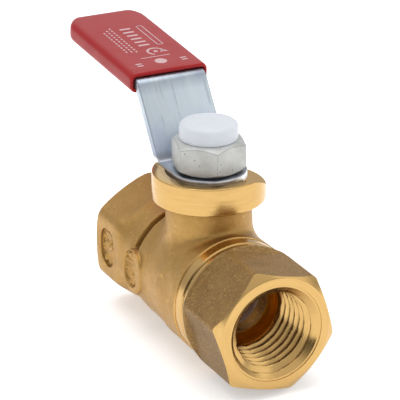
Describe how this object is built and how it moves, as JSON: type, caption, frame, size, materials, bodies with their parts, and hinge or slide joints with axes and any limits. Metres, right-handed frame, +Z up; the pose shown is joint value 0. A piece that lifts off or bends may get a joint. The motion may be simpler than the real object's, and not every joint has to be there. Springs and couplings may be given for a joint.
{
  "type": "ball valve",
  "caption": "Two-piece female-threaded brass ball valve with a cranked steel lever, red vinyl grip and quarter-turn stop collar.",
  "frame": {"origin": "the point where the stem axis crosses the pipe axis, at the centre of the ball", "axes": "+X along the pipe towards the end adapter's port, +Z up the stem towards the lever nut, lever along -X when open"},
  "size_m": [0.061, 0.0198, 0.041],
  "materials": {
    "forged_brass": "satin forged",
    "dark_brass": "forged flats with turned faces",
    "ptfe": "matte",
    "chrome": "polished",
    "turned_brass": "turned",
    "rubber": "matte",
    "zinc_steel": "bright zinc plating",
    "red_vinyl": "dipped, semi-gloss",
    "zinc_nut": "zinc plated",
    "nylon": "satin"
  },
  "bodies": {
    "valve_body": {"body": "forged_brass", "end_adapter": "dark_brass", "joint_seal": "ptfe", "seat_near": "ptfe", "seat_far": "ptfe", "thrust_washer": "ptfe", "packing_lower": "ptfe", "packing_upper": "ptfe", "packing_nut": "turned_brass"},
    "handle": {"lever": "zinc_steel", "grip": "red_vinyl", "lock_nut": "zinc_nut", "nut_cap": "nylon", "stem": "turned_brass", "stem_o_ring": "rubber"},
    "ball": {"ball": "chrome"}
  },
  "joints": [
    {"name": "lever_turn", "type": "hinge", "parent": "valve_body", "child": "handle", "pos_m": [0, 0, 0.0165], "axis": [0, 0, -1], "range_deg": [0, 90]},
    {"name": "ball_turn", "type": "hinge", "parent": "valve_body", "child": "ball", "pos_m": [0, 0, 0], "axis": [0, 0, -1], "range_deg": [0, 90]}
  ],
  "couplings": [
    {"joint": "ball_turn", "follows": "lever_turn", "ratio": 1}
  ]
}
